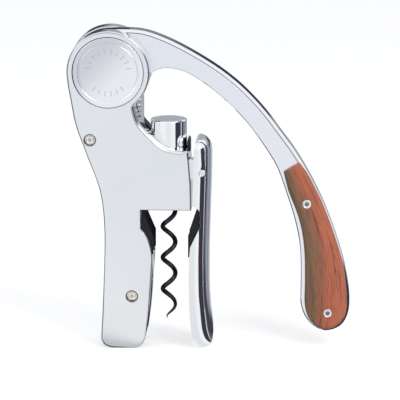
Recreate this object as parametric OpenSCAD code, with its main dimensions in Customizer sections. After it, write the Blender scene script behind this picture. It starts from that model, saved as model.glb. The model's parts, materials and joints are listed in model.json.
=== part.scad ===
// Lever corkscrew: two shell halves, a forked lever whose pinion lifts a rack and carriage, a worm
// that turns through a fixed helical nut, and a hinged jaw that closes on the bottle neck.
// Units are millimetres. X runs right, Y runs back, Z runs up. Z = 0 is the ground under both feet.

/* [Body] */
// Depth of the closed body, front face to back face
body_depth = 32; // [32:0.5:35]
// Radius of the round head
head_r = 24.6; // [24.2:0.1:24.8]
// Rounding of the body's outer edges
edge_r = 1.2; // [0.8:0.1:1.5]
// Rounding of the saddle's edge
saddle_r = 2.6; // [2:0.1:2.8]
// Radius of the front medallion
medal_r = 21.4; // [19:0.1:21.6]

/* [Lever] */
// Thickness of the steel lever
lever_t = 11; // [11:0.5:12]
// Radius of the lever's axle
axle_r = 5; // [4:0.25:5.5]
// Width of the bevel along the lever's outer edge
bevel_w = 2.4; // [1.5:0.1:2.6]
// Depth of that bevel
bevel_d = 0.9; // [0.5:0.1:1.2]
// Thickness of one wooden scale
scale_t = 4; // [3.5:0.25:5]

/* [Drive] */
// Width of the rack and of its teeth
rack_w = 4.4; // [3.6:0.1:4.4]
// Space left between teeth, measured along the rack
backlash = 0.12; // [0.06:0.02:0.2]
// Radius of the carriage cylinder
carriage_r = 10.9; // [10.6:0.05:10.95]
// Pitch of the worm
worm_pitch = 19.3; // [18:0.1:20]
// Outside radius of the worm
worm_r = 5.25; // [5:0.05:5.3]
// Wire diameter of the worm
wire_d = 2.9; // [2.5:0.1:3]
// Height of the worm's point above the ground
tip_z = 15; // [12:0.5:20]

/* [Neck seat] */
// Radius of the seat that closes on the bottle neck
seat_r = 14.3; // [13.9:0.1:14.5]
// Radius of the flared mouth over the seat
flare_r = 18.9; // [17:0.1:19.4]

/* [Fits] */
// Radial clearance of turning pins
run_gap = 0.05; // [0.02:0.01:0.08]
// Clearance between sliding faces
side_gap = 0.3; // [0.25:0.05:0.35]
// Clearance of fixed parts in their seats
seat_gap = 0.03; // [0.02:0.01:0.05]

/* [Hidden] */
$fn = 64;

hub_x = -59.65;
hub_z = 168;
bx = 35;                      // bottle and worm axis, right of the hub
hd = body_depth / 2;
ht = lever_t / 2;
slot = ht + side_gap;         // half width of the slot between the head's cheeks
rw = rack_w / 2;
groove = rw + side_gap;       // half width of the groove that holds the pinion
teeth = 35;
pitch_r = teeth / 2;          // module 1
tip_r = pitch_r + 1;
plate_z = -83;                // underside of the plate, where the bottle's lip stops
wr = wire_d / 2;
coil_r = worm_r - wr;
seat_d = hd - 2.5;            // floor of the medallion's recess, from the middle plane
under = -hub_z - 5;           // where cuts that pass the ground end
bore_r = carriage_r + 0.08;   // bore that the carriage slides in
side_w = 3.22;                // wall beside that bore
side_x = bx + bore_r + side_w;
neck_r = seat_r + 0.3;        // bore round the bottle neck, just wider than the pads' seat
tail_x = 12.5;                // left face of the rack's tail
tail_z = -126;                // its lower end
jaw_x = side_x + 6.5;         // jaw pivot
jaw_z = plate_z + 22.7;
jaw_pin_r = 1.5;
jaw_pin_l = hd - 1.8;         // half length of the pin over its heads
lug_t = 4;                    // half thickness of the lug that carries the jaw
lug_r = 4;                    // its round end
lug_w = 7;                    // half height of its root
lug_l = 9.7;                  // pivot to root
rack_bolt_z = [-67.4, -72.9];
rack_bolt_x = 18.9;           // left face of the screw heads
rack_bolt_h = 0.7;            // thickness of the heads
steel = [0.80, 0.81, 0.83];
dark = [0.08, 0.08, 0.09];
wood = [0.36, 0.14, 0.08];

module at_hub() translate([hub_x, 0, hub_z]) children();
module at_neck() translate([hub_x + bx, 0, hub_z]) children();
// A plate in the X-Z plane from depth a to depth b
module slab(a, b) translate([0, b, 0]) rotate([90, 0, 0]) linear_extrude(height = b - a) children();
// A cylinder along Y
module cy(r, a, b) translate([0, b, 0]) rotate([90, 0, 0]) cylinder(r = r, h = b - a);
module box(lo, hi) translate(lo) cube(hi - lo);
module tube(ro, ri, a, b) translate([0, 0, a]) difference() {
  cylinder(r = ro, h = b - a);
  translate([0, 0, -1]) cylinder(r = ri, h = b - a + 2);
}

// Smooth curve through points, k steps a span, without its last point
function cr(a, b, c, d, t) = 0.5 * (2 * b + (c - a) * t + (2 * a - 5 * b + 4 * c - d) * t * t
  + (3 * b - a - 3 * c + d) * t * t * t);
function sp(p, k) = [for (i = [0:len(p) - 2]) for (j = [0:k - 1])
  cr(p[max(i - 1, 0)], p[i], p[i + 1], p[min(i + 2, len(p) - 1)], j / k)];
function arc(r, a, b, n, e) = [for (i = [0:n]) let (t = a + (b - a) * i / n) [r * cos(t), r * sin(t), e]];
function edge(p, e) = [for (q = p) [q[0], q[1], e]];
function u2(v) = [v[0], v[1]] / norm([v[0], v[1]]);
function nv(p, i) = let (n = len(p), a = u2(p[i] - p[(i + n - 1) % n]), b = u2(p[(i + 1) % n] - p[i]),
  s = [a[1] + b[1], -a[0] - b[0]], m = norm(s)) m < 0.3 ? [a[1], -a[0]] : s / m * min(1.5, 2 / m);
// A ring of the outline, moved in by k times its edge size, at a depth that may follow the edge size
function ring(p, y, k, d) = [for (i = [0:len(p) - 1]) let (n = nv(p, i), e = p[i][2])
  [p[i][0] - n[0] * k * e, y + d * e, p[i][1] - n[1] * k * e]];
module skin(r) {
  n = len(r[0]);
  m = len(r);
  polyhedron(points = [for (q = r) each q], faces = concat([[for (i = [n - 1:-1:0]) i]],
    [[for (i = [0:n - 1]) (m - 1) * n + i]],
    [for (k = [0:m - 2]) for (i = [0:n - 1]) let (j = (i + 1) % n)
      each [[k * n + i, k * n + j, (k + 1) * n + j], [k * n + i, (k + 1) * n + j, (k + 1) * n + i]]]),
    convexity = 8);
}
// A closed band that runs round the outline; each corner is [share of the edge size to move in, depth,
// share of the edge size to go deeper]
module band(p, c) {
  n = len(p);
  m = len(c);
  r = [for (q = c) ring(p, q[1], q[0], q[2])];
  polyhedron(points = [for (q = r) each q], faces = [for (k = [0:m - 1]) for (i = [0:n - 1])
    let (j = (i + 1) % n, h = (k + 1) % m)
      each [[k * n + i, k * n + j, h * n + j], [k * n + i, h * n + j, h * n + i]]], convexity = 8);
}
core_k = 1.12;                // the plate inside the band, as a share of the edge size
band_k = 1.25;                // the band's inner edge, which lies in that plate
module core(p, a, b) slab(a, b) polygon([for (q = ring(p, 0, core_k, 0)) [q[0], q[2]]]);
// A solid between depths a and b whose edge at a is round
module rounded(p, a, b) {
  core(p, a, b);
  band(p, concat([[0, b, 0], [band_k, b, 0], [band_k, a, 0]],
    [for (t = [0:22.5:90]) [1 - sin(t), a, 1 - cos(t)]]));
}

// ---- body
left_side = [[-24.4, -3], [-23.6, -9.5], [-22.2, -17], [-20.3, -28], [-17.9, -36.5], [-14.7, -45],
  [-12, -52.5], [-9.2, -59.5], [-5.3, -71], [-3.4, -83.5], [-2.7, -95], [-2.7, -108.5],
  [-3.3, -126.5], [-4.1, -145], [-5, -160], [-4.7, -163.5], [-2.8, -166.4], [1, -167.8]];
leg_side = [[17.5, -167.4], [20, -165], [21.5, -161], [22.5, -153.5], [23.7, -144.5], [25, -126.5],
  [25.9, -113.5], [25.2, -106], [22.8, -99], [19.3, -94]];
right_side = [[side_x, plate_z], [side_x - 0.1, -78], [side_x - 0.3, -67], [side_x - 1.4, -53],
  [side_x - 1.8, -47.2]];
saddle = [[42.5, -46.9], [37, -46], [33.7, -44.8], [30.7, -42.9], [27.7, -40.3],
  [24.6, -37.2], [20.6, -33], [17.9, -29], [16.7, -25.5], [15.9, -22], [15.6, -19.6]];
body_line = concat(arc(head_r, -50, 185, 34, edge_r), sp(edge(left_side, edge_r), 2),
  edge([[1, -167.8], [2.5, -168], [15.5, -168]], edge_r), sp(edge(leg_side, edge_r), 2),
  edge([[19.3, -94], [19.3, plate_z]], edge_r), sp(edge(right_side, edge_r), 1),
  edge([[side_x - 1.8, -47.2]], 1.6), sp(edge(saddle, saddle_r), 2));
module head_cut() {
  slab(-slot, slot) circle(r = 25.6);
  slab(-slot, slot) polygon([[-34, 6], [-34, -40], [-19, -40], [-8, -32], [1, -29.5], [6, -28],
    [8, -20], [0, 0]]);
}
module core_cut() {
  head_cut();
  box([pitch_r - 1 - side_gap, -groove, plate_z - 1], [24.6, groove, 0]);
  box([tail_x - side_gap, -groove, tail_z - 3], [pitch_r, groove, -18]);
  translate([bx, 0, plate_z - 1]) cylinder(r = bore_r, h = 60);
  translate([bx, 0, under]) cylinder(r = neck_r, h = plate_z - under);
  box([18.3, -11.55, -113.55], [45, 11.55, plate_z]);
  box([bx + 9, -5.05, -49.05], [side_x + 3, 5.05, -38]);
  cy(axle_r + seat_gap, -hd - 1, hd + 1);
  cy(8.05, -seat_d - 0.01, -seat_d + 2.1);
  cy(8.05, seat_d - 2.1, seat_d + 0.01);
  translate([jaw_x, 0, jaw_z]) cy(jaw_pin_r + run_gap, -hd, hd);
  translate([jaw_x, 0, jaw_z]) cy(3.2, -1.6, 1.6);
  for (p = screw_at) translate([p[0], 0, p[1]]) cy(1.6 + seat_gap, -hd - 1, 10);
  for (p = dowel_at) translate([p[0], 0, p[1]]) cy(1.5 + seat_gap, -6.1, 6.1);
}
screw_at = [[-11, -40.6], [13.6, -135.8]];
dowel_at = [[2, -62], [5, -150]];
module lug() translate([jaw_x, 0, jaw_z]) {
  cy(lug_r, -lug_t, 0);
  slab(-lug_t, 0) polygon([[-lug_l, -lug_w], [0, -lug_r], [0, lug_r], [-lug_l, lug_w]]);
}
module front_shell() color(steel) at_hub() difference() {
  union() {
    rounded(body_line, -hd, 0);
    lug();
  }
  core_cut();
  cy(medal_r + seat_gap, -hd - 1, -seat_d);
  for (p = screw_at) translate([p[0], 0, p[1]]) {
    cy(3.8, -hd - 1, -hd + 1.6);
    cy(2.4 + seat_gap, -hd - 1, -hd + 4);
  }
}
module rear_shell() color(steel) at_hub() difference() {
  mirror([0, 1, 0]) union() {
    rounded(body_line, -hd, 0);
    lug();
  }
  core_cut();
  cy(12 + seat_gap, seat_d, hd + 1);
  for (p = screw_at) translate([p[0], 0, p[1]]) cy(2.6 + seat_gap, 3.9, 10.05);
}
module front_medallion() color(steel) at_hub() difference() {
  union() {
    cy(medal_r, -hd + 0.6, -seat_d);
    translate([0, -hd + 0.6, 0]) rotate([90, 0, 0]) cylinder(r1 = medal_r, r2 = medal_r - 0.7, h = 0.6);
  }
  difference() {
    cy(medal_r - 3.2, -hd - 1, -hd + 0.4);
    cy(medal_r - 4, -hd - 2, -hd + 1);
  }
}
module rear_cap() color(steel) at_hub() cy(12, seat_d, hd);
module lever_axle() color(steel) at_hub() difference() {
  union() {
    cy(axle_r, -seat_d + 0.1, seat_d - 0.1);
    cy(8, -seat_d, -seat_d + 2.1);
  }
  difference() {
    cy(9, seat_d - 2.05, seat_d - 0.95);
    cy(axle_r - 0.5, seat_d - 3, seat_d);
  }
}
module axle_clip() color(dark) at_hub() difference() {
  cy(7.6, seat_d - 2, seat_d - 1);
  cy(axle_r - 0.5, seat_d - 3, seat_d);
}
module body_screws() color(steel) at_hub() for (p = screw_at) translate([p[0], 0, p[1]]) difference() {
  union() {
    cy(2.4, -hd + 0.8, -hd + 4);
    cy(1.6, -hd + 4, 9.5);
  }
  translate([0, -hd + 2.4, 0]) rotate([90, 0, 0]) cylinder(r = 1.25, h = 3, $fn = 6);
}
module body_inserts() color([0.7, 0.6, 0.3]) at_hub() for (p = screw_at) translate([p[0], 0, p[1]])
  difference() {
    cy(2.6, 4, 10);
    cy(1.6 + seat_gap, 3, 11);
  }
module dowel_pins() color(steel) at_hub() for (p = dowel_at) translate([p[0], 0, p[1]]) cy(1.5, -6, 6);

// ---- lever
lever_low = [[24.2, -2.4], [29, 0.1], [33.8, 1.2], [39.7, 0.6], [45.8, -1.3], [53.9, -6],
  [60, -10.3], [66, -15.3], [72, -20.6], [78, -26.8], [84, -33.8], [90, -42], [95.7, -50.6],
  [99.9, -58], [103, -66], [106, -75], [109, -84.1], [111.5, -93.2], [113.3, -102.4],
  [114.2, -111.7], [114.4, -121], [114.4, -130], [114.3, -138.3], [114.9, -143.3],
  [116.8, -148.8], [120.3, -153.7], [125, -157.2], [129.4, -158.4]];
lever_top = [[129.4, -158.4], [134, -157.6], [138.5, -155.2], [141.6, -151.2], [143.5, -145.3],
  [143.9, -138.5], [143, -129.8], [141, -119.4], [138, -107.7], [131.9, -89.9], [125.7, -75.3],
  [119.6, -63.2], [113.6, -52.9], [108.8, -45.6], [105.4, -41], [101.4, -35.7], [95.6, -27.8],
  [89.6, -20.6], [83.6, -14.2], [77.7, -8.5], [71.7, -3.5], [65.8, 0.9], [59.9, 4.8],
  [53.9, 8.5], [48, 11.9], [42, 15.1], [36.2, 17.9], [30.2, 20.4], [24.3, 22.5], [18.4, 23.8],
  [12.5, 24.2], [6.5, 24.2], [2, 24.1]];
lever_line = concat(sp(edge(lever_low, 0.7), 2), sp(edge(lever_top, bevel_w), 2),
  arc(24, 95, 351, 32, 0.7));
bolt_at = [[118, -79.5], [130.9, -146.5]];
pin_at = [for (a = [90, 210, 330]) [11 * cos(a), 11 * sin(a)]];
module lever_arm() color(steel) at_hub() difference() {
  union() {
    core(lever_line, -ht, ht);
    band(lever_line, [for (q = [[0, bevel_d - ht], [0, ht - bevel_d], [1, ht], [band_k, ht], [band_k, -ht],
      [1, -ht]]) [q[0], q[1], 0]]);
  }
  cy(27, -groove, groove);
  cy(axle_r + 2 + seat_gap, -ht - 1, ht + 1);
  for (p = pin_at) translate([p[0], 0, p[1]]) cy(1.5 + seat_gap, -ht - 1, ht + 1);
  for (p = bolt_at) translate([p[0], 0, p[1]]) cy(1.9 + seat_gap, -ht - 1, ht + 1);
}
module axle_bushes() color([0.7, 0.6, 0.3]) at_hub() for (s = [-1, 1]) difference() {
  translate([0, s * (ht + groove) / 2, 0]) cy(axle_r + 2, -(ht - groove) / 2, (ht - groove) / 2);
  cy(axle_r + run_gap, -ht - 1, ht + 1);
}
function inv(a) = tan(a) - a * PI / 180;
base_r = pitch_r * cos(20);
half_t = PI / 4 - backlash / 2;
// Half of a tooth's angle at radius r
function ta(r) = (half_t / pitch_r + inv(20) - (r > base_r ? inv(acos(base_r / r)) : 0)) * 180 / PI;
flank = [pitch_r - 1.3, pitch_r - 0.7, pitch_r + 0.2, tip_r];
module drive_pinion() color(steel) at_hub() difference() {
  slab(-rw, rw) polygon([for (k = [0:teeth - 1]) let (c = k * 360 / teeth) each concat(
    [for (r = flank) [r * cos(c - ta(r)), r * sin(c - ta(r))]],
    [for (i = [3:-1:0]) let (r = flank[i]) [r * cos(c + ta(r)), r * sin(c + ta(r))]])]);
  cy(axle_r + side_gap, -rw - 1, rw + 1);
  for (p = pin_at) translate([p[0], 0, p[1]]) cy(1.5 + seat_gap, -rw - 1, rw + 1);
}
module pinion_pins() color(steel) at_hub() for (p = pin_at) translate([p[0], 0, p[1]])
  cy(1.5, -ht + 0.1, ht - 0.1);
scale_side = [[104, -60.5], [106.7, -71.4], [109.7, -79], [112.8, -87.3], [115, -96], [116.3, -105],
  [117, -115.5], [117.1, -129.5], [116.9, -139], [117.7, -145], [119.5, -149.8], [122.4, -153.4],
  [126, -155.8], [130, -156.7], [134, -155.8], [138, -153.2], [141, -149], [142.3, -143],
  [142.3, -135.5], [141, -123.2], [139.2, -114], [136.7, -105.4], [133.6, -96.2], [130, -86.4],
  [126.3, -77.5], [122, -68.8], [117.8, -61], [113.2, -54.8]];
scale_line = concat(sp(edge(scale_side, 1.7), 2), edge([[113.2, -54.8]], 1.7));
module front_scale() color(wood) at_hub() difference() {
  rounded(scale_line, -ht - scale_t, -ht);
  for (p = bolt_at) translate([p[0], 0, p[1]]) {
    cy(1.9 + seat_gap, -20, 0);
    cy(2.6 + seat_gap, -20, -ht - scale_t + 1.4);
  }
}
module rear_scale() color(wood) at_hub() difference() {
  mirror([0, 1, 0]) rounded(scale_line, -ht - scale_t, -ht);
  for (p = bolt_at) translate([p[0], 0, p[1]]) cy(2.6 + seat_gap, 0, 20);
}
module handle_bolts() color(steel) at_hub() for (p = bolt_at) translate([p[0], 0, p[1]]) difference() {
  union() {
    cy(2.6, -ht - scale_t - 0.1, -ht - scale_t + 1.4);
    cy(1.9, -ht - scale_t + 1.4, ht);
    cy(1.5, ht, ht + scale_t - 1);
  }
  translate([0, -ht - scale_t + 1, 0]) rotate([90, 0, 0]) cylinder(r = 1.4, h = 3, $fn = 6);
}
module handle_nuts() color(steel) at_hub() for (p = bolt_at) translate([p[0], 0, p[1]]) difference() {
  cy(2.6, ht, ht + scale_t + 0.1);
  cy(1.5 + seat_gap, ht - 1, ht + scale_t - 0.95);
}

// ---- carriage, rack and worm
module carriage() color(steel) at_neck() difference() {
  union() {
    translate([0, 0, -75]) cylinder(r = carriage_r, h = 44.4);
    translate([0, 0, -30.6]) cylinder(r1 = carriage_r, r2 = carriage_r - 0.6, h = 0.6);
    box([20.2 - bx, -rw, -75], [26 - bx, rw, -58]);
  }
  translate([0, 0, -76]) cylinder(r = 5.7, h = 6);
  translate([0, 0, -72]) cylinder(r = 2.5, h = 12);
  translate([0, 0, -62]) cylinder(r = 7.5, h = 30);
  translate([0, 0, -32.2]) cylinder(r = 9 + seat_gap, h = 4);
  for (z = rack_bolt_z) translate([16 - bx, 0, z]) rotate([0, 90, 0]) cylinder(r = 0.9 + seat_gap, h = 9.6);
}
module carriage_cap() color(steel) at_neck() translate([0, 0, -32.2]) cylinder(r = 9, h = 2.2);
t1 = half_t - tan(20);
t2 = half_t + 1.25 * tan(20);
module rack() color(steel) at_hub() difference() {
  slab(-rw, rw) polygon(concat([[20.2, 3], [18.75, 3]],
    [for (k = [0:-1:-21]) let (c = (k + 0.5) * PI)
      each [[18.75, c + t2], [16.5, c + t1], [16.5, c - t1], [18.75, c - t2]]],
    [[18.75, -68.9], [17.2, -69.6], [17.2, -79], [tail_x, -80.5], [tail_x, tail_z],
      [tail_x + 4.5, tail_z], [tail_x + 4.5, -83.2], [20.2, -82.5]]));
  for (z = rack_bolt_z) translate([15, 0, z]) rotate([0, 90, 0]) {
    cylinder(r = 0.9 + seat_gap, h = 9);
    cylinder(r = 1.5 + seat_gap, h = rack_bolt_x + rack_bolt_h - 15);
  }
}
module rack_screws() color(dark) at_hub() for (z = rack_bolt_z) translate([rack_bolt_x, 0, z])
  rotate([0, 90, 0]) {
    cylinder(r = 1.5, h = rack_bolt_h);
    translate([0, 0, rack_bolt_h]) cylinder(r = 0.9, h = 5.8);
  }
function th(z) = 180 + (z + 115.5) / worm_pitch * 360;
wz0 = tip_z - hub_z;
wn = 84;
function wring(z) = let (d = z - wz0, f = min(1, d / 14), g = 1 - min(1, d / 8), a = th(z),
  r = wr * (0.08 + 0.92 * pow(f, 0.7)), c = coil_r - 2.8 * g * g, w = 2 * PI / worm_pitch,
  t = [-c * sin(a) * w, c * cos(a) * w, 1] / norm([c * w, 1]), n = [cos(a), sin(a), 0],
  b = cross(t, n)) [for (i = [0:9]) [c * cos(a), c * sin(a), z] + r * (n * cos(i * 36) - b * sin(i * 36))];
module worm() color(dark) at_neck() difference() {
  union() {
    skin([for (i = [0:wn]) wring(wz0 + (-72.5 - wz0) * i / wn)]);
    translate([0, 0, -74.6]) cylinder(r = 5.4, h = 4.3);
    translate([0, 0, -70.5]) cylinder(r = 2.5 - run_gap, h = 14);
  }
  tube(4, 2, -60, -58.85);
}
module worm_bearing() color([0.7, 0.6, 0.3]) at_neck() tube(7.5 - seat_gap, 2.5 + run_gap, -62, -60);
module worm_clip() color(dark) at_neck() tube(4.4, 2, -59.95, -58.9);
// Cross-section of the worm's channel, with clearance all round
cw = wr + 0.4;
ca = 52;
channel = concat([for (i = [-10:10]) let (a = ca * sin(i * 9), r = coil_r + cw * cos(i * 9))
    [r * cos(a), r * sin(a)]],
  [for (i = [9:-1:-9]) let (a = ca * sin(i * 9), r = coil_r - cw * cos(i * 9)) [r * cos(a), r * sin(a)]]);
module guide_nut() color(dark) at_neck() difference() {
  translate([0, 0, -82]) cylinder(r = carriage_r, h = 4.4);
  translate([0, 0, -83]) rotate([0, 0, th(-83)])
    linear_extrude(height = 6.4, twist = -360 * 6.4 / worm_pitch, slices = 24) polygon(channel);
}
module nut_retainer() color(steel) at_neck() tube(carriage_r, 7, -83, -82);
module carriage_buffer() color(dark) at_neck() tube(carriage_r - 0.1, 7, -77.6, -75.02);

// ---- neck seat and jaw
module seat_cut() {
  translate([bx, 0, under]) cylinder(r = seat_r, h = plate_z + 3 - under);
  translate([bx, 0, -100]) cylinder(r1 = seat_r, r2 = flare_r + 0.6, h = 18);
}
module body_pad() color(dark) at_hub() difference() {
  box([18.35, -11.5, -113.5], [28, 11.5, plate_z]);
  seat_cut();
  box([25.2, -12, -114], [29, 12, -111]);
}
// Height, left and right edges from the pivot, inset from the body's face
jaw_rings = [[-168, -3.1, 3.7, 2.8], [-167.3, -4.3, 4.9, 1.6], [-165, -5.3, 5.7, 0.8],
  [-161, -5.9, 6.1, 0.4], [-156, -6.6, 5.8, 0.4], [-150, -7.2, 5.2, 0.4], [-143.5, -7.6, 4.6, 0.4],
  [-137.5, -7.8, 4.2, 0.4], [-131, -8, 3.9, 0.4], [-125, -8.1, 3.8, 0.4], [-113, -7.8, 3.8, 0.4],
  [-105.5, -7.2, 3.9, 0.4], [-94, -6.4, 4.3, 0.4], [-80, -5.9, 4.7, 0.4], [-64, -5.5, 5.2, 0.4],
  [-55, -5.2, 5.3, 0.4], [-48, -5, 5.3, 0.4], [-45.5, -4.8, 4.9, 0.8], [-43.5, -4.4, 3.9, 1.8],
  [-42, -3.6, 2.3, 3.4], [-41, -2.5, 0.5, 6]];
function soft(c) = sign(c) * pow(abs(c), 0.8);
jaw_turn = 9;
// The lug as the open jaw meets it, and as the closed one does
module jaw_slot() slab(-lug_t - side_gap, lug_t + side_gap) polygon([
  [-lug_l - 2, -lug_w - 3], [0, -lug_r - 2 * side_gap], [0, lug_r + 2 * side_gap],
  [-lug_l - 2, lug_w + 3 + (lug_l + 2) * sin(jaw_turn)]]);
module jaw() color(steel) at_hub() translate([jaw_x, 0, 0]) difference() {
  skin([for (q = jaw_rings) [for (i = [0:28]) let (t = 90 - i * 180 / 28)
    [q[1] + (q[2] - q[1]) * soft(cos(t)), (hd - q[3]) * soft(sin(t)), q[0]]]]);
  slab(-20, 20) polygon([[-11.7, -105.5], [-7.2, -105.5], [-1.8, -94.4], [-1.2, -93], [-1.2, -86],
    [-1.8, -83], [-3.5, -81.2], [-6.7, -80.2], [-11.7, -80.2]]);
  translate([bx - jaw_x, 0, under]) cylinder(r = neck_r, h = plate_z - under);
  slab(-8 - seat_gap, 8 + seat_gap) polygon([[-11.7, -113.35], [-3.65, -113.35], [-3.65, -104],
    [-1.25, -94], [-1.25, -84], [-11.7, -84]]);
  translate([0, 0, jaw_z]) {
    cy(lug_r + side_gap, -lug_t - side_gap, lug_t + side_gap);
    jaw_slot();
    cy(jaw_pin_r + seat_gap, -20, 20);
    cy(2 + seat_gap, -20, 1.6 - jaw_pin_l);
    cy(2 + seat_gap, jaw_pin_l - 1.6, 20);
  }
}
module jaw_pad() color(dark) at_hub() difference() {
  translate([jaw_x, 0, 0]) slab(-8, 8) polygon([[-9.7, -113.3], [-3.7, -113.3], [-3.7, -104],
    [-1.3, -94], [-1.3, -86], [-3.2, -84], [-9.7, -84]]);
  seat_cut();
}
module jaw_pin() color(steel) at_hub() translate([jaw_x, 0, jaw_z]) {
  cy(jaw_pin_r, 0.7 - jaw_pin_l, jaw_pin_l - 0.7);
  cy(2, -jaw_pin_l, 1.6 - jaw_pin_l);
  cy(2, jaw_pin_l - 1.6, jaw_pin_l);
}
module jaw_spring() color(dark) at_hub() translate([jaw_x, 0, jaw_z]) rotate([90, 0, 0])
  for (y = [-0.9, 0, 0.9]) translate([0, 0, y]) rotate_extrude()
    translate([jaw_pin_r + 1, 0]) circle(r = 0.5, $fn = 16);
module jaw_stop() color(dark) at_hub() translate([side_x, 0, 0]) slab(-5, 5) polygon([[-2.9, -49],
  [-1, -49], [-1, -42.6], [-1.6, -41.2], [-2.3, -41.2], [-2.9, -42.6]]);

front_shell();
rear_shell();
front_medallion();
rear_cap();
lever_axle();
axle_clip();
axle_bushes();
lever_arm();
drive_pinion();
pinion_pins();
front_scale();
rear_scale();
handle_bolts();
handle_nuts();
carriage();
carriage_cap();
rack();
rack_screws();
worm();
worm_bearing();
worm_clip();
guide_nut();
nut_retainer();
carriage_buffer();
body_pad();
jaw_pad();
jaw();
jaw_pin();
jaw_spring();
jaw_stop();
body_screws();
body_inserts();
dowel_pins();
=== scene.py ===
"""Looks of the lever corkscrew: polished and satin steel, oiled wood, black coating and rubber."""

import json
import math

import bmesh
import bpy
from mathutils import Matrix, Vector

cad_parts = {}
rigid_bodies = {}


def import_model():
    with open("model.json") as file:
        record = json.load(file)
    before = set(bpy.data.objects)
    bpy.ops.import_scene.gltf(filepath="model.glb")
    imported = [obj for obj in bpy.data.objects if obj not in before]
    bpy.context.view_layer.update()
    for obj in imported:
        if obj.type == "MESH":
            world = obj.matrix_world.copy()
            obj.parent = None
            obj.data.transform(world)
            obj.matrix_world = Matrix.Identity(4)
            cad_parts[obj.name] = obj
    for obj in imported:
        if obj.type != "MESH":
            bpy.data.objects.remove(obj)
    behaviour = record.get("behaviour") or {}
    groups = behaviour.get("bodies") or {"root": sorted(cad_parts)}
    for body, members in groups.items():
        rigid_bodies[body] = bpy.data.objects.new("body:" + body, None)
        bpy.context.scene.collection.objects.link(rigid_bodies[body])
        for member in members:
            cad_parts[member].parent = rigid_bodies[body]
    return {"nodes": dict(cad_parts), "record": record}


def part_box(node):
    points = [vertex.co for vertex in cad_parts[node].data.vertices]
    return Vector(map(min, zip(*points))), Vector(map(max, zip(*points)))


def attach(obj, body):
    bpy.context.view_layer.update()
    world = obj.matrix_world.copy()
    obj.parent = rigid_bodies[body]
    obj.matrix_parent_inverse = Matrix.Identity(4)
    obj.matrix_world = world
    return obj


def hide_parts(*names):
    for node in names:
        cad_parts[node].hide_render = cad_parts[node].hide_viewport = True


MM = 0.001
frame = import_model()
BODIES = frame["record"]["behaviour"]["bodies"]
BODY_OF = {node: body for body, nodes in BODIES.items() for node in nodes}
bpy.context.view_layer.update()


def centre(node):
    low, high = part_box(node)
    return (Vector(low) + Vector(high)) / 2


HUB = centre("lever_axle")


# ---- shader maths ---------------------------------------------------------


class Wire:
    """One output socket of a shader tree. Plus, minus, times and over add Math nodes."""

    def __init__(self, shader, socket):
        self.shader = shader
        self.socket = socket

    def maths(self, operation, *others):
        values = {0: self}
        values.update({i + 1: other for i, other in enumerate(others)})
        return self.shader.node("ShaderNodeMath", {"operation": operation}, values)

    def __add__(self, other):
        return self.maths("ADD", other)

    def __radd__(self, other):
        return self.maths("ADD", other)

    def __sub__(self, other):
        return self.maths("SUBTRACT", other)

    def __rsub__(self, other):
        return self.shader.node("ShaderNodeMath", {"operation": "SUBTRACT"}, {0: other, 1: self})

    def __mul__(self, other):
        return self.maths("MULTIPLY", other)

    def __rmul__(self, other):
        return self.maths("MULTIPLY", other)

    def __truediv__(self, other):
        return self.maths("DIVIDE", other)

    def part(self, name):
        """Another output of the same node."""
        return Wire(self.shader, self.socket.node.outputs[name])

    def step(self, low, high, at_low=0.0, at_high=1.0):
        """A smooth step from at_low to at_high as the value goes from low to high."""
        settings = {"interpolation_type": "SMOOTHSTEP"}
        values = {"Value": self, "From Min": low, "From Max": high, "To Min": at_low, "To Max": at_high}
        return self.shader.node("ShaderNodeMapRange", settings, values)


class Shader:
    """The node tree of a material or of the world."""

    def __init__(self, owner):
        owner.use_nodes = True
        self.tree = owner.node_tree
        self.tree.nodes.clear()

    def node(self, kind, settings=None, values=None, out=0):
        made = self.tree.nodes.new(kind)
        for name, value in (settings or {}).items():
            if name == "stops":
                ramp = made.color_ramp
                while len(ramp.elements) < len(value):
                    ramp.elements.new(0.5)
                for element, (place, colour) in zip(ramp.elements, value):
                    element.position = place
                    element.color = (*colour, 1)
            else:
                setattr(made, name, value)
        for name, value in (values or {}).items():
            socket = made.inputs[name]
            if isinstance(value, Wire):
                self.tree.links.new(value.socket, socket)
            elif hasattr(value, "__len__") and len(value) == 3 and socket.type == "RGBA":
                socket.default_value = (*value, 1)
            else:
                socket.default_value = value
        return Wire(self, made.outputs[out])

    def mix(self, factor, first, second):
        settings = {"data_type": "RGBA"}
        return self.node("ShaderNodeMix", settings, {0: factor, 6: first, 7: second}, out=2)

    def place(self):
        return self.node("ShaderNodeTexCoord", out=3)

    def absolute(self, value):
        return self.node("ShaderNodeMath", {"operation": "ABSOLUTE"}, {0: value})

    def lesser(self, first, second):
        return self.node("ShaderNodeMath", {"operation": "MINIMUM"}, {0: first, 1: second})

    def join(self, x, y, z):
        return self.node("ShaderNodeCombineXYZ", values={0: x, 1: y, 2: z})

    def axes(self, vector):
        split = self.node("ShaderNodeSeparateXYZ", values={0: vector})
        return split, split.part("Y"), split.part("Z")

    def noise(self, vector, scale, detail=3.0, rough=0.5):
        values = {"Vector": vector, "Scale": scale, "Detail": detail, "Roughness": rough}
        return self.node("ShaderNodeTexNoise", values=values)

    def stretched(self, vector, scale):
        values = {"Vector": vector, "Scale": scale}
        return self.node("ShaderNodeMapping", values=values)

    def bump(self, height, strength, distance):
        values = {"Height": height, "Strength": strength, "Distance": distance}
        return self.node("ShaderNodeBump", values=values)

    def surface(self, values):
        return self.node("ShaderNodeBsdfPrincipled", values=values)

    def finish(self, wire, kind="ShaderNodeOutputMaterial"):
        end = self.tree.nodes.new(kind)
        self.tree.links.new(wire.socket, end.inputs["Surface"])


def band(value, low, high, soft):
    """1 between low and high, with soft edges."""
    return value.step(low - soft, low + soft) * (1 - value.step(high - soft, high + soft))


def new_material(name):
    material = bpy.data.materials.new(name)
    return material, Shader(material)


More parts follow.
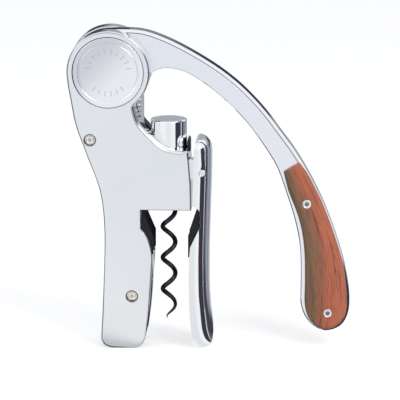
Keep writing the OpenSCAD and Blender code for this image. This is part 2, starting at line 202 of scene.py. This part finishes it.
def body_steel():
    """Satin on the flat front and back, mirror polish on the sides, and a painted dark reflection along the
    rim, strongest round the head.
    """
    material, s = new_material("body_steel")
    place = s.place()
    _, depth, height = s.axes(place)
    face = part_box("rear_shell")[1][1]
    flat = s.absolute(depth).step(face - 0.7 * MM, face - 0.05 * MM)
    cloud = s.noise(place, 22, 2)
    fine = s.noise(s.stretched(place, (900, 900, 240)), 1.0, 2)
    tone = s.mix(cloud, (0.82, 0.84, 0.855), (0.89, 0.90, 0.91))
    # Painted dark reflection: a dark line painted on the bevel along the rim, full round the head and fading
    # to a trace lower down.
    rim = band(s.absolute(depth), face - 0.3 * MM, face - 0.06 * MM, 0.05 * MM)
    rim = rim * height.step(HUB.z - 75 * MM, HUB.z - 5 * MM, 0.15, 1.0)
    tone = s.mix(rim, tone, (0.30, 0.33, 0.40))
    rough = flat * 0.2 + 0.05 + fine * 0.03 + cloud * 0.03
    values = {"Base Color": tone, "Metallic": 1.0, "Roughness": rough}
    values["Normal"] = s.bump(fine, 0.02, 0.00001)
    s.finish(s.surface(values))
    return material


def medallion_steel():
    """A satin disc, turned on the lathe, with a polished bevelled rim. A painted sheen makes it darker at the
    upper left and lighter at the lower right, and its rim wall carries a painted shadow line at the upper
    left that turns to a painted highlight at the lower right.
    """
    material, s = new_material("medallion_steel")
    place = s.place()
    x, _, z = s.axes(place)
    x = x - HUB.x
    z = z - HUB.z
    radius = s.node("ShaderNodeMath", {"operation": "SQRT"}, {0: x * x + z * z})
    low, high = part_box("front_medallion")
    rim = (high[0] - low[0]) / 2
    bright = radius.step(rim - 0.6 * MM, rim - 0.5 * MM)
    rings = s.noise(s.join(radius, 0.0, 0.0), 2600, 2)
    # Painted sheen: the disc is painted lighter towards the lower right and darker towards the upper left.
    painted_sheen = (x - z).step(-20 * MM, 14 * MM)
    tone = s.mix(painted_sheen, (0.70, 0.705, 0.735), (0.95, 0.95, 0.965))
    # Painted shadow line and highlight on the rim wall: near black at the upper left, pale at the lower
    # right.
    edge = s.mix(painted_sheen, (0.08, 0.09, 0.13), (0.80, 0.81, 0.85))
    tone = s.mix(radius.step(rim - 0.48 * MM, rim - 0.36 * MM), tone, edge)
    values = {"Base Color": tone, "Metallic": 1.0, "Roughness": (1 - bright) * 0.2 + rings * 0.06 + 0.04}
    values["Normal"] = s.bump(rings, 0.02, 0.00001)
    s.finish(s.surface(values))
    return material


def lever_steel():
    """Satin cheeks with a bright, polished bevel. The bevel carries a painted dark line and the sides below
    it are painted darker, both as painted dark reflection.
    """
    material, s = new_material("lever_steel")
    place = s.place()
    _, depth, _ = s.axes(place)
    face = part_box("lever_arm")[1][1]
    flat = s.absolute(depth).step(face - 0.3 * MM, face - 0.05 * MM)
    grain = s.noise(s.stretched(place, (260, 700, 260)), 1.0, 3)
    cloud = s.noise(place, 18, 2)
    tone = s.mix(cloud, (0.88, 0.885, 0.92), (0.94, 0.94, 0.965))
    # Painted dark reflection: the sides, more than about a millimetre in from the face, are painted darker.
    painted_dark_sides = s.absolute(depth).step(face - 1.1 * MM, face - 0.95 * MM)
    tone = s.mix(painted_dark_sides, (0.30, 0.31, 0.36), tone)
    # Painted dark reflection: a dark line painted on the bevel just inside the face.
    rim = band(s.absolute(depth), face - 0.26 * MM, face - 0.05 * MM, 0.04 * MM)
    tone = s.mix(rim, tone, (0.18, 0.19, 0.25))
    rough = flat * 0.16 + 0.05 + grain * 0.05
    values = {"Base Color": tone, "Metallic": 1.0, "Roughness": rough}
    values["Normal"] = s.bump(grain, 0.04, 0.00002)
    s.finish(s.surface(values))
    return material


def mirror_chrome(name, tone, base):
    """Polished metal, faintly smeared. Base is its roughness where it is cleanest."""
    material, s = new_material(name)
    place = s.place()
    smear = s.noise(place, 90, 3)
    values = {"Metallic": 1.0, "Roughness": smear * 0.05 + base}
    values["Base Color"] = s.mix(smear, tone, tuple(0.94 * c for c in tone))
    values["Normal"] = s.bump(s.noise(place, 60, 1), 0.03, 0.0001)
    s.finish(s.surface(values))
    return material


def machined_steel():
    """Plain turned and milled steel of the inner parts."""
    material, s = new_material("machined_steel")
    place = s.place()
    marks = s.noise(s.stretched(place, (300, 300, 2500)), 1.0, 2)
    values = {"Metallic": 1.0, "Roughness": marks * 0.2 + 0.28}
    values["Base Color"] = s.mix(marks, (0.42, 0.43, 0.45), (0.58, 0.59, 0.61))
    values["Normal"] = s.bump(marks, 0.15, 0.00005)
    s.finish(s.surface(values))
    return material


def turned_brass():
    """Plain brass with fine lathe marks."""
    material, s = new_material("turned_brass")
    place = s.place()
    marks = s.noise(s.stretched(place, (400, 2600, 400)), 1.0, 2)
    values = {"Metallic": 1.0, "Roughness": marks * 0.15 + 0.24}
    values["Base Color"] = s.mix(marks, (0.56, 0.42, 0.20), (0.74, 0.58, 0.31))
    s.finish(s.surface(values))
    return material


def black_rubber():
    """Black rubber with fine pores and a little dust."""
    material, s = new_material("black_rubber")
    place = s.place()
    pores = s.noise(place, 1400, 2)
    dust = s.noise(place, 160, 3)
    values = {"Roughness": pores * 0.1 + 0.34}
    values["Base Color"] = s.mix(dust, (0.004, 0.004, 0.008), (0.010, 0.010, 0.016))
    values["Normal"] = s.bump(pores, 0.2, 0.00004)
    values["Specular IOR Level"] = 0.3
    s.finish(s.surface(values))
    return material


def worm_coating():
    """Slick black coating, a little worn towards the point."""
    material, s = new_material("worm_coating")
    place = s.place()
    _, _, height = s.axes(place)
    speck = s.noise(place, 700, 3)
    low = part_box("worm")[0][2]
    wear = (1 - height.step(low, low + 12 * MM)) * speck.step(0.5, 0.62) * 0.5
    values = {"Base Color": s.mix(wear, (0.006, 0.006, 0.012), (0.10, 0.10, 0.11))}
    values["Roughness"] = speck * 0.12 + 0.18
    values["Normal"] = s.bump(speck, 0.08, 0.00005)
    values["Specular IOR Level"] = 0.4
    s.finish(s.surface(values))
    return material


def grip_wood():
    """Oiled reddish wood: olive heart along the inner edge, and fine grain that follows the handle's bow."""
    material, s = new_material("grip_wood")
    across, depth, height = s.axes(s.place())
    # Inner and outer edges of the handle, as curves over its height
    rise = height - 35 * MM
    inner = 57.5 * MM - rise * rise * 2.5
    rise = height - 25 * MM
    outer = 82.7 * MM - rise * rise * 3.77
    share = (across - inner) / (outer - inner)
    along = s.join(share * (22 * MM), depth, height)
    wander = s.noise(s.stretched(along, (110, 110, 22)), 1.0, 4, 0.6)
    fibres = s.noise(s.stretched(along, (950, 600, 34)), 1.0, 5, 0.65)
    pores = s.noise(s.stretched(along, (2800, 1500, 150)), 1.0, 2, 0.5)
    mark = share * 0.9 + (wander - 0.5) * 0.6 + (fibres - 0.5) * 0.3
    stops = [(0.04, (0.150, 0.085, 0.044)), (0.24, (0.235, 0.135, 0.075)),
        (0.42, (0.360, 0.125, 0.070)), (0.62, (0.520, 0.145, 0.078)), (0.95, (0.560, 0.175, 0.095))]
    tone = s.node("ShaderNodeValToRGB", {"stops": stops}, {"Fac": mark})
    dark = fibres.step(0.32, 0.50, 0.5, 0.0) + pores.step(0.36, 0.44, 0.45, 0.0)
    tone = s.mix(s.lesser(dark, 1.0), tone, (0.085, 0.036, 0.022))
    values = {"Base Color": tone, "Roughness": fibres * 0.2 + 0.38}
    values["Normal"] = s.bump(fibres + pores * 0.6, 0.3, 0.0001)
    values["Specular IOR Level"] = 0.35
    s.finish(s.surface(values))
    return material


def engraved_grey():
    """Shallow etching, a shade darker than the disc it is cut in."""
    material, s = new_material("engraved_grey")
    cloud = s.noise(s.place(), 900, 2)
    values = {"Base Color": s.mix(cloud, (0.46, 0.44, 0.40), (0.58, 0.55, 0.50))}
    values["Roughness"] = cloud * 0.2 + 0.5
    values["Metallic"] = 0.7
    s.finish(s.surface(values))
    return material


STEEL = body_steel()
DISC = medallion_steel()
LEVER = lever_steel()
CHROME = mirror_chrome("mirror_chrome", (0.95, 0.955, 0.965), 0.03)
BRIGHT = mirror_chrome("bright_pin", (0.86, 0.86, 0.84), 0.08)
# Dark chrome standing in for painted shade: the rings in the screw seats and round the jaw pin, and the
# floors of the grip bolt sockets.
PAINTED_SHADE = mirror_chrome("painted_shade_chrome", (0.24, 0.22, 0.19), 0.15)
SOCKET = mirror_chrome("brass_socket", (0.62, 0.53, 0.33), 0.3)
MACHINED = machined_steel()
BRASS = turned_brass()
RUBBER = black_rubber()
COATING = worm_coating()
WOOD = grip_wood()
ETCHED = engraved_grey()

FINISH = {"front_shell": STEEL, "rear_shell": STEEL, "front_medallion": DISC, "rear_cap": STEEL,
    "lever_axle": MACHINED, "axle_clip": MACHINED, "axle_bushes": BRASS, "lever_arm": LEVER,
    "drive_pinion": MACHINED, "pinion_pins": MACHINED, "front_scale": WOOD, "rear_scale": WOOD,
    "handle_bolts": BRIGHT, "handle_nuts": BRIGHT, "carriage": CHROME, "carriage_cap": CHROME,
    "rack": MACHINED, "rack_screws": MACHINED, "worm": COATING, "worm_bearing": BRASS,
    "worm_clip": MACHINED, "guide_nut": RUBBER, "nut_retainer": MACHINED, "carriage_buffer": RUBBER,
    "body_pad": RUBBER, "jaw_pad": RUBBER, "jaw": CHROME, "jaw_pin": BRIGHT, "jaw_spring": MACHINED,
    "jaw_stop": RUBBER, "body_screws": BRIGHT, "body_inserts": BRASS, "dowel_pins": MACHINED}

# Pieces whose edges are broken by a fine round, with its width in millimetres
BROKEN_EDGES = {"front_shell": 0.3, "rear_shell": 0.3, "lever_arm": 0.25, "jaw": 0.2, "carriage": 0.3,
    "carriage_cap": 0.25, "front_medallion": 0.12, "rear_cap": 0.3, "body_pad": 0.35, "jaw_pad": 0.35,
    "jaw_stop": 0.3, "body_screws": 0.12, "handle_bolts": 0.12, "jaw_pin": 0.25, "handle_nuts": 0.12}
# Pieces that are only shaded smooth
SMOOTH_ONLY = ["front_scale", "rear_scale", "worm", "guide_nut", "nut_retainer", "jaw_spring", "lever_axle"]

# An edge sharper than this stays sharp, and faces closer than this are one flat face
SHARP_ANGLE = math.radians(33)
FLAT_ANGLE = math.radians(0.4)


def finished_mesh(work):
    """Works the object's modifiers into its mesh, which is then plain."""
    graph = bpy.context.evaluated_depsgraph_get()
    mesh = bpy.data.meshes.new_from_object(work.evaluated_get(graph))
    work.modifiers.clear()
    work.data = mesh


def dress(node):
    """Makes a copy of a CAD node with joined faces, smooth shading and broken edges, to stand for it."""
    source = frame["nodes"][node]
    mesh = source.data.copy()
    work = bpy.data.objects.new(node + "_finish", mesh)
    bpy.context.scene.collection.objects.link(work)
    shape = bmesh.new()
    shape.from_mesh(mesh)
    bmesh.ops.remove_doubles(shape, verts=shape.verts, dist=2e-6)
    bmesh.ops.dissolve_degenerate(shape, dist=1e-6, edges=shape.edges)
    if node in BROKEN_EDGES:
        bmesh.ops.dissolve_limit(shape, angle_limit=FLAT_ANGLE, verts=shape.verts, edges=shape.edges)
    for face in shape.faces:
        face.smooth = True
    shape.to_mesh(mesh)
    shape.free()
    mesh.set_sharp_from_angle(angle=SHARP_ANGLE)
    mesh.materials.clear()
    mesh.materials.append(FINISH[node])
    width = BROKEN_EDGES.get(node)
    if width:
        edge = work.modifiers.new("broken_edge", "BEVEL")
        edge.width = width * MM
        edge.segments = 2
        edge.limit_method = "ANGLE"
        edge.angle_limit = SHARP_ANGLE
        edge.miter_outer = "MITER_ARC"
    even = work.modifiers.new("even_shading", "WEIGHTED_NORMAL")
    even.keep_sharp = True
    even.thresh = 0.0
    finished_mesh(work)
    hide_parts(node)
    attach(work, BODY_OF[node])


def dress_all():
    """Gives each CAD node its material, and replaces those that need a finer surface."""
    for node, obj in frame["nodes"].items():
        obj.data.materials.clear()
        obj.data.materials.append(FINISH[node])
    for node in [*BROKEN_EDGES, *SMOOTH_ONLY]:
        dress(node)


# ---- repeated small pieces, made by geometry nodes -------------------------


class Maker:
    """A geometry tree whose inputs are named sizes."""

    def __init__(self, name, sizes):
        self.tree = bpy.data.node_groups.new(name, "GeometryNodeTree")
        face = self.tree.interface
        face.new_socket("Geometry", in_out="INPUT", socket_type="NodeSocketGeometry")
        self.ids = {}
        for size in sizes:
            self.ids[size] = face.new_socket(size, in_out="INPUT", socket_type="NodeSocketFloat").identifier
        face.new_socket("Geometry", in_out="OUTPUT", socket_type="NodeSocketGeometry")
        self.sizes = sizes
        self.start = self.tree.nodes.new("NodeGroupInput")
        self.end = self.tree.nodes.new("NodeGroupOutput")

    def add(self, kind, values=None, settings=None):
        made = self.tree.nodes.new(kind)
        for name, value in (settings or {}).items():
            setattr(made, name, value)
        for name, value in (values or {}).items():
            if isinstance(value, bpy.types.NodeSocket):
                self.tree.links.new(value, made.inputs[name])
            else:
                made.inputs[name].default_value = value
        return made

    def close(self, instances, material):
        real = self.add("GeometryNodeRealizeInstances", {"Geometry": instances})
        skin = self.add("GeometryNodeSetMaterial", {"Geometry": real.outputs[0], "Material": material})
        self.tree.links.new(skin.outputs[0], self.end.inputs[0])

    def make(self, name, points, body):
        """Runs the tree on a mesh of loose points and keeps the result as a plain mesh on a body."""
        mesh = bpy.data.meshes.new(name)
        mesh.from_pydata([tuple(p) for p in points], [], [])
        work = bpy.data.objects.new(name, mesh)
        bpy.context.scene.collection.objects.link(work)
        modifier = work.modifiers.new("maker", "NODES")
        modifier.node_group = self.tree
        for size, value in self.sizes.items():
            modifier[self.ids[size]] = value
        finished_mesh(work)
        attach(work, body)


def seat_rings(name, points, body, radius, wire, material):
    """A thin ring round each screw head or in each screw's seat."""
    maker = Maker(name + "_tree", {"Ring radius": radius, "Wire radius": wire})
    inputs = maker.start.outputs
    big = maker.add("GeometryNodeCurvePrimitiveCircle", {"Resolution": 48, "Radius": inputs["Ring radius"]})
    small = maker.add("GeometryNodeCurvePrimitiveCircle", {"Resolution": 10, "Radius": inputs["Wire radius"]})
    ring = maker.add("GeometryNodeCurveToMesh", {0: big.outputs[0], 1: small.outputs[0]})
    turn = maker.add("GeometryNodeTransform", {0: ring.outputs[0], "Rotation": (math.pi / 2, 0, 0)})
    smooth = maker.add("GeometryNodeSetShadeSmooth", {"Geometry": turn.outputs[0]})
    spots = maker.add("GeometryNodeMeshToPoints", {"Mesh": inputs["Geometry"]})
    put = maker.add("GeometryNodeInstanceOnPoints",
        {"Points": spots.outputs[0], "Instance": smooth.outputs[0]})
    maker.close(put.outputs[0], material)
    maker.make(name, points, body)


def etched_marks():
    """Two arcs of plain short strokes on the medallion, each pointing to its centre."""
    sizes = {"Stroke width": 0.42 * MM, "Stroke height": 0.04 * MM, "Stroke length": 3.1 * MM}
    maker = Maker("etched_marks_tree", sizes)
    inputs = maker.start.outputs
    size = maker.add("ShaderNodeCombineXYZ",
        {0: inputs["Stroke width"], 1: inputs["Stroke height"], 2: inputs["Stroke length"]})
    stroke = maker.add("GeometryNodeMeshCube", {"Size": size.outputs[0]})
    spots = maker.add("GeometryNodeMeshToPoints", {"Mesh": inputs["Geometry"]})
    here = maker.add("GeometryNodeInputPosition")
    away = maker.add("ShaderNodeVectorMath", {0: here.outputs[0], 1: tuple(HUB)}, {"operation": "SUBTRACT"})
    split = maker.add("ShaderNodeSeparateXYZ", {0: away.outputs[0]})
    angle = maker.add("ShaderNodeMath", {0: split.outputs["X"], 1: split.outputs["Z"]},
        {"operation": "ARCTAN2"})
    turn = maker.add("ShaderNodeCombineXYZ", {1: angle.outputs[0]})
    put = maker.add("GeometryNodeInstanceOnPoints",
        {"Points": spots.outputs[0], "Instance": stroke.outputs[0], "Rotation": turn.outputs[0]})
    maker.close(put.outputs[0], ETCHED)
    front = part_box("front_medallion")[0][1]
    upper = [12 + 17.3 * i for i in range(10)]
    lower = [229 + 16.5 * i for i in range(6)]
    circle = 12.6 * MM
    points = []
    for degrees in upper + lower:
        turned = math.radians(degrees)
        points.append((HUB.x + circle * math.cos(turned), front, HUB.z + circle * math.sin(turned)))
    maker.make("etched_marks", points, "frame")


def split_centres(node):
    """Centres across and in height of the two like pieces in one node, the upper one first."""
    low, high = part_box(node)
    mesh = frame["nodes"][node].data
    middle = (low[2] + high[2]) / 2
    upper = [v.co for v in mesh.vertices if v.co.z > middle]
    lower = [v.co for v in mesh.vertices if v.co.z <= middle]
    found = []
    for group in (upper, lower):
        xs = [p.x for p in group]
        zs = [p.z for p in group]
        found.append(((min(xs) + max(xs)) / 2, (min(zs) + max(zs)) / 2))
    return found


def socket_floors(name, points, body, radius, material):
    """A small six-sided plate at the bottom of each screw's socket."""
    maker = Maker(name + "_tree", {"Socket radius": radius, "Plate thickness": 0.12 * MM})
    inputs = maker.start.outputs
    plate = maker.add("GeometryNodeMeshCylinder", {"Vertices": 6, "Radius": inputs["Socket radius"],
        "Depth": inputs["Plate thickness"]})
    turn = maker.add("GeometryNodeTransform", {0: plate.outputs["Mesh"], "Rotation": (math.pi / 2, 0, 0)})
    spots = maker.add("GeometryNodeMeshToPoints", {"Mesh": inputs["Geometry"]})
    put = maker.add("GeometryNodeInstanceOnPoints",
        {"Points": spots.outputs[0], "Instance": turn.outputs[0]})
    maker.close(put.outputs[0], material)
    maker.make(name, points, body)


def small_pieces():
    """Rings, socket floors and strokes, each set from the front face of the piece that carries it. The dark
    chrome rings and floors are painted shade.
    """
    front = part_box("front_shell")[0][1]
    screws = split_centres("body_screws")
    seats = [(x, front + 0.45 * MM, z) for x, z in screws]
    # Dark rings of painted shade in the screw seats, at the shell's front face.
    seat_rings("screw_seat_rings", seats, "frame", radius=3.4 * MM, wire=0.45 * MM, material=PAINTED_SHADE)

    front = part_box("body_screws")[0][1]
    heads = [(x, front, z) for x, z in screws]
    seat_rings("screw_head_rings", heads, "frame", radius=2.1 * MM, wire=0.25 * MM, material=BRIGHT)
    floors = [(x, front + 0.35 * MM, z) for x, z in screws]
    socket_floors("screw_sockets", floors, "frame", radius=1.2 * MM, material=SOCKET)

    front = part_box("handle_bolts")[0][1]
    bolts = split_centres("handle_bolts")
    heads = [(x, front + 0.15 * MM, z) for x, z in bolts]
    seat_rings("grip_bolt_rings", heads, "lever", radius=2.4 * MM, wire=0.3 * MM, material=BRIGHT)
    floors = [(x, front + 0.5 * MM, z) for x, z in bolts]
    # Dark plates of painted shade at the bottom of the grip bolt sockets.
    socket_floors("grip_bolt_sockets", floors, "lever", radius=1.35 * MM, material=PAINTED_SHADE)

    low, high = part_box("jaw_pin")
    pin = centre("jaw_pin")
    head = [(pin.x, low[1] + 0.35 * MM, pin.z)]
    pin_radius = (high[0] - low[0]) / 2
    # A dark ring of painted shade round the jaw pin's head.
    seat_rings("jaw_pin_ring", head, "clamp", radius=pin_radius, wire=0.18 * MM, material=PAINTED_SHADE)
    etched_marks()


# ---- stage ------------------------------------------------------------------


# What polished steel sees round it. Each panel has two ends and a softness, in degrees from the front with
# the left below zero, and a colour.
PANELS = [(-160, -127, 4, (0.26, 0.30, 0.38)), (-127, -101, 2, (0.03, 0.035, 0.055)),
    (-90, -71, 2, (0.06, 0.065, 0.09)), (-71, -58, 6, (0.50, 0.53, 0.58)),
    (44, 86, 2, (0.045, 0.04, 0.06)), (94, 126, 4, (0.17, 0.20, 0.28)), (126, 160, 6, (0.26, 0.29, 0.35))]


def heading(s, x, y):
    """Direction from the front, in degrees, positive to the right."""
    return s.node("ShaderNodeMath", {"operation": "ARCTAN2"}, {0: x, 1: y * -1.0}) * (180 / math.pi)


def panelled(s, side, front):
    """The front's colour, with the panels and the grey back laid over it by direction."""
    front = s.mix(s.absolute(side).step(9, 24), front, (0.94, 0.95, 0.965))
    for low, high, soft, colour in PANELS:
        front = s.mix(band(side, low, high, soft), front, colour)
    return s.mix(s.absolute(side).step(152, 168), front, (0.50, 0.53, 0.58))


def studio():
    """A white floor. Polished steel sees it pale in front and panelled at the sides."""
    floor_mesh = bpy.data.meshes.new("floor")
    reach = 6.0
    corners = [(-reach, -reach, 0), (reach, -reach, 0), (reach, reach, 0), (-reach, reach, 0)]
    floor_mesh.from_pydata(corners, [], [(0, 1, 2, 3)])
    floor = bpy.data.objects.new("floor", floor_mesh)
    bpy.context.scene.collection.objects.link(floor)
    material, s = new_material("floor_white")
    place = s.place()
    x, y, _ = s.axes(place)
    speck = s.noise(place, 400, 2)
    white = s.mix(speck, (0.78, 0.78, 0.785), (0.80, 0.80, 0.805))
    matte = s.surface({"Base Color": white, "Roughness": 0.9, "Specular IOR Level": 0.0})
    glow = s.node("ShaderNodeEmission", values={"Color": (1, 1, 1, 1), "Strength": 0.45})
    seen = s.node("ShaderNodeAddShader", values={0: matte, 1: glow})
    away = s.absolute(y)
    pale = s.mix(away.step(0.05, 0.5), (0.79, 0.82, 0.85), (0.87, 0.89, 0.92))
    pale = s.mix(away.step(0.5, 0.95), pale, (0.80, 0.84, 0.90))
    near = y.step(-0.01, 0.02) * (1 - away.step(0.05, 0.1))
    shown = s.mix(near, panelled(s, heading(s, x, y), pale), (0.05, 0.05, 0.07))
    mirrored = s.node("ShaderNodeEmission", values={"Color": shown, "Strength": 1.0})
    paths = s.node("ShaderNodeLightPath")
    plain = s.node("ShaderNodeMixShader", values={0: paths.part("Is Camera Ray"), 1: matte, 2: seen})
    s.finish(s.node("ShaderNodeMixShader", values={0: paths.part("Is Glossy Ray"), 1: plain, 2: mirrored}))
    floor_mesh.materials.append(material)


def studio_world():
    """A white room. Its low parts are panelled and its back is grey, seen only in polished steel."""
    world = bpy.data.worlds.new("studio")
    bpy.context.scene.world = world
    s = Shader(world)
    x, y, z = s.axes(s.node("ShaderNodeTexCoord", out=0))
    side = heading(s, x, y)
    low = panelled(s, side, (0.86, 0.88, 0.91))
    rear = s.mix(z.step(0.12, 0.17), (0.06, 0.065, 0.09), (0.40, 0.42, 0.47))
    low = s.mix(y.step(0.75, 0.85), low, rear)
    room = s.mix(z.step(0.26, 0.42), low, (0.97, 0.975, 0.985))
    strip = band(side, 53, 68, 2) * (1 - z.step(0.68, 0.76))
    room = s.mix(strip, room, (0.05, 0.055, 0.08))
    paths = s.node("ShaderNodeLightPath")
    glossy = s.node("ShaderNodeBackground", values={"Color": room, "Strength": 1.0})
    plain = s.node("ShaderNodeBackground", values={"Color": (0.80, 0.81, 0.83, 1), "Strength": 0.75})
    white = s.node("ShaderNodeBackground", values={"Color": (1, 1, 1, 1), "Strength": 1.0})
    lit = s.node("ShaderNodeMixShader", values={0: paths.part("Is Glossy Ray"), 1: plain, 2: glossy})
    seen = s.node("ShaderNodeMixShader", values={0: paths.part("Is Camera Ray"), 1: lit, 2: white})
    s.finish(seen, "ShaderNodeOutputWorld")


def lamp(name, place, target, size, power):
    """A square lamp that faces the target."""
    data = bpy.data.lights.new(name, "AREA")
    data.size = size
    data.energy = power
    obj = bpy.data.objects.new(name, data)
    bpy.context.scene.collection.objects.link(obj)
    obj.location = place
    obj.rotation_euler = (Vector(target) - Vector(place)).to_track_quat("-Z", "Y").to_euler()


def lights():
    middle = (0, 0, 0.09)
    lamp("key_right", (0.9, -1.0, 1.1), middle, 0.7, 9)
    lamp("fill_left", (-1.1, -0.9, 0.7), middle, 0.9, 4)


def camera():
    """Slightly from the right and above, with a long lens."""
    turn, rise, away = math.radians(3), math.radians(12.5), 1.8
    target = Vector((HUB.x + 53.67 * MM, 0, HUB.z - 79.7 * MM))
    back = Vector((math.sin(turn) * math.cos(rise), -math.cos(turn) * math.cos(rise), math.sin(rise)))
    data = bpy.data.cameras.new("camera")
    data.lens = 270
    data.sensor_width = 36
    data.clip_end = 50
    obj = bpy.data.objects.new("camera", data)
    bpy.context.scene.collection.objects.link(obj)
    obj.location = target + back * away
    obj.rotation_euler = (-back).to_track_quat("-Z", "Y").to_euler()
    bpy.context.scene.camera = obj


bpy.context.scene.view_settings.view_transform = "Standard"
camera()
studio()
studio_world()
lights()
dress_all()
small_pieces()
